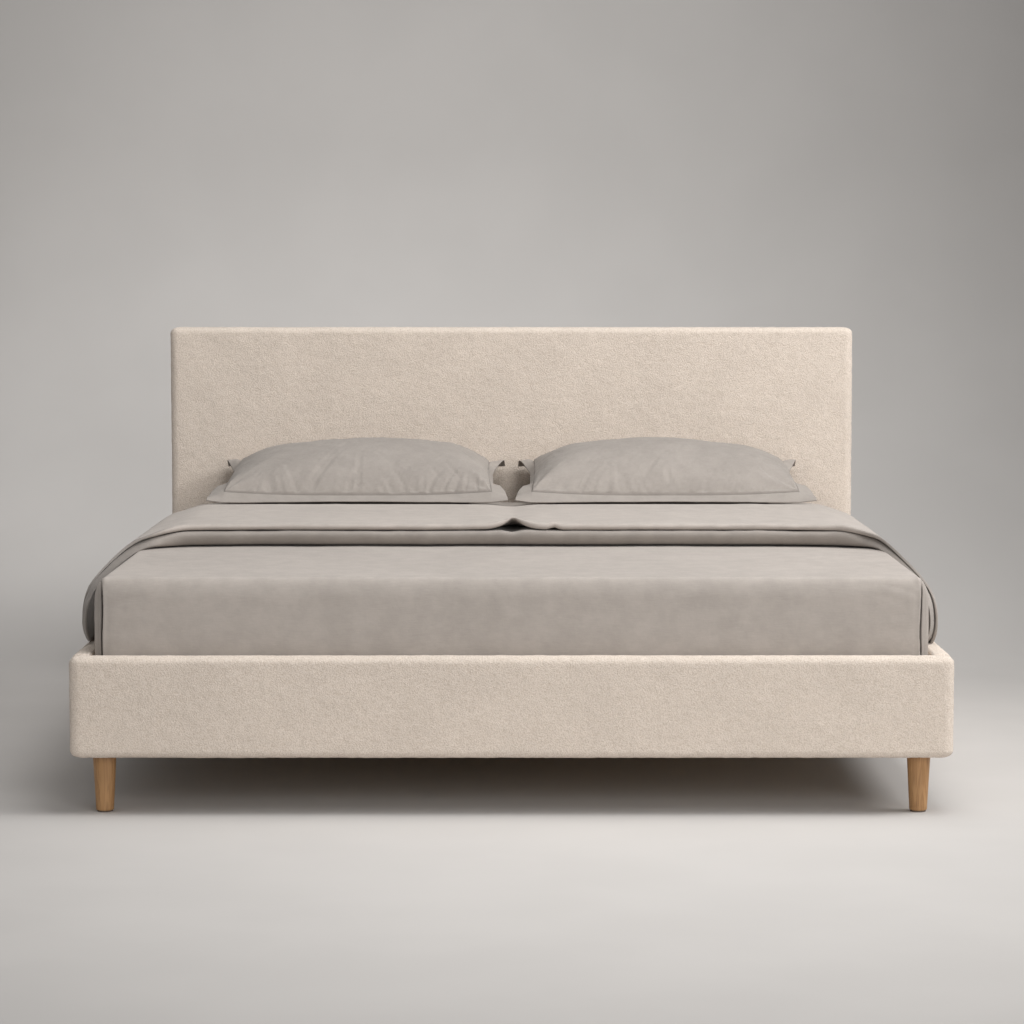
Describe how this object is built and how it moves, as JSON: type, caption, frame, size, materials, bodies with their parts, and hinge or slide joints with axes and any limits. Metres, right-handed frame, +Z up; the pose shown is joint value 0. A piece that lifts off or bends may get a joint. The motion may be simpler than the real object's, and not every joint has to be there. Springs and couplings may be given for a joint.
{
  "type": "upholstered bed",
  "caption": "Upholstered double bed with a plain rectangular headboard, low padded rails on round tapered legs, mattress, turned-back cover and flanged pillows.",
  "frame": {"origin": "on the floor under the middle of the bed's outline", "axes": "+Z up, +Y along the bed towards the headboard, +X across the bed to the right seen from the foot"},
  "size_m": [1.9444, 2.16, 1.02],
  "materials": {
    "boucle": "cream looped-wool boucle",
    "taupe_cotton": "matt taupe cotton",
    "foam": "upholstery foam",
    "ticking": "off-white ticking",
    "pine": "planed pine",
    "plywood": "raw plywood",
    "dust_cloth": "black non-woven cloth",
    "black_steel": "black powder coat",
    "oak": "clear-lacquered oak",
    "felt": "brown felt",
    "black_plastic": "moulded black plastic",
    "webbing": "natural woven webbing"
  },
  "bodies": {
    "frame": {"beam_saddle_foot": "black_steel", "beam_saddle_head": "black_steel", "centre_beam": "pine", "centre_leg": "black_steel", "corner_angle_front_left": "black_steel", "corner_angle_front_right": "black_steel", "corner_angle_rear_left": "black_steel", "corner_angle_rear_right": "black_steel", "corner_block_front_left": "pine", "corner_block_front_right": "pine", "corner_block_rear_left": "pine", "corner_block_rear_right": "pine", "foot_rail_board": "pine", "foot_rail_cover": "boucle", "headboard_back_cloth": "dust_cloth", "headboard_bottom_rail": "pine", "headboard_cover": "boucle", "headboard_face_panel": "plywood", "headboard_foam": "foam", "headboard_stile_left": "pine", "headboard_stile_right": "pine", "headboard_top_rail": "pine", "leg_front_left": "oak", "leg_front_right": "oak", "leg_glide_front_left": "felt", "leg_glide_front_right": "felt", "leg_glide_rear_left": "felt", "leg_glide_rear_right": "felt", "leg_rear_left": "oak", "leg_rear_right": "oak", "side_rail_board_left": "pine", "side_rail_board_right": "pine", "side_rail_cover_left": "boucle", "side_rail_cover_right": "boucle", "slat_01": "pine", "slat_02": "pine", "slat_03": "pine", "slat_04": "pine", "slat_05": "pine", "slat_06": "pine", "slat_07": "pine", "slat_08": "pine", "slat_09": "pine", "slat_10": "pine", "slat_11": "pine", "slat_12": "pine", "slat_ledge_left": "pine", "slat_ledge_right": "pine", "slat_strap_left": "webbing", "slat_strap_right": "webbing"},
    "bedding": {"mattress": "ticking", "fitted_sheet": "taupe_cotton"},
    "cover": {"turned_back_cover": "taupe_cotton"},
    "pillow_left": {"pillowcase_left": "taupe_cotton", "pillow_insert_left": "ticking"},
    "pillow_right": {"pillowcase_right": "taupe_cotton", "pillow_insert_right": "ticking"},
    "levelling_pad": {"levelling_pad": "black_plastic"},
    "levelling_stud": {"levelling_stud": "black_steel"}
  },
  "joints": [
    {"name": "mattress_lift", "type": "slide", "parent": "frame", "child": "bedding", "axis": [0, 0, 1], "range_m": [0, 0.3]},
    {"name": "cover_lift", "type": "slide", "parent": "bedding", "child": "cover", "axis": [0, 0, 1], "range_m": [0, 0.3]},
    {"name": "pillow_left_lift", "type": "slide", "parent": "cover", "child": "pillow_left", "axis": [0, 0, 1], "range_m": [0, 0.4]},
    {"name": "pillow_right_lift", "type": "slide", "parent": "cover", "child": "pillow_right", "axis": [0, 0, 1], "range_m": [0, 0.4]},
    {"name": "levelling_pad_slide", "type": "slide", "parent": "frame", "child": "levelling_pad", "axis": [0, 0, -1], "range_m": [-0.006, 0.009]},
    {"name": "levelling_stud_turn", "type": "hinge", "parent": "levelling_pad", "child": "levelling_stud", "pos_m": [0, -0.023, 0.03], "axis": [0, 0, 1], "range_deg": [-1441, 2161]}
  ],
  "couplings": [
    {"joint": "levelling_stud_turn", "follows": "levelling_pad_slide", "rad_per_m": 4188.8}
  ]
}
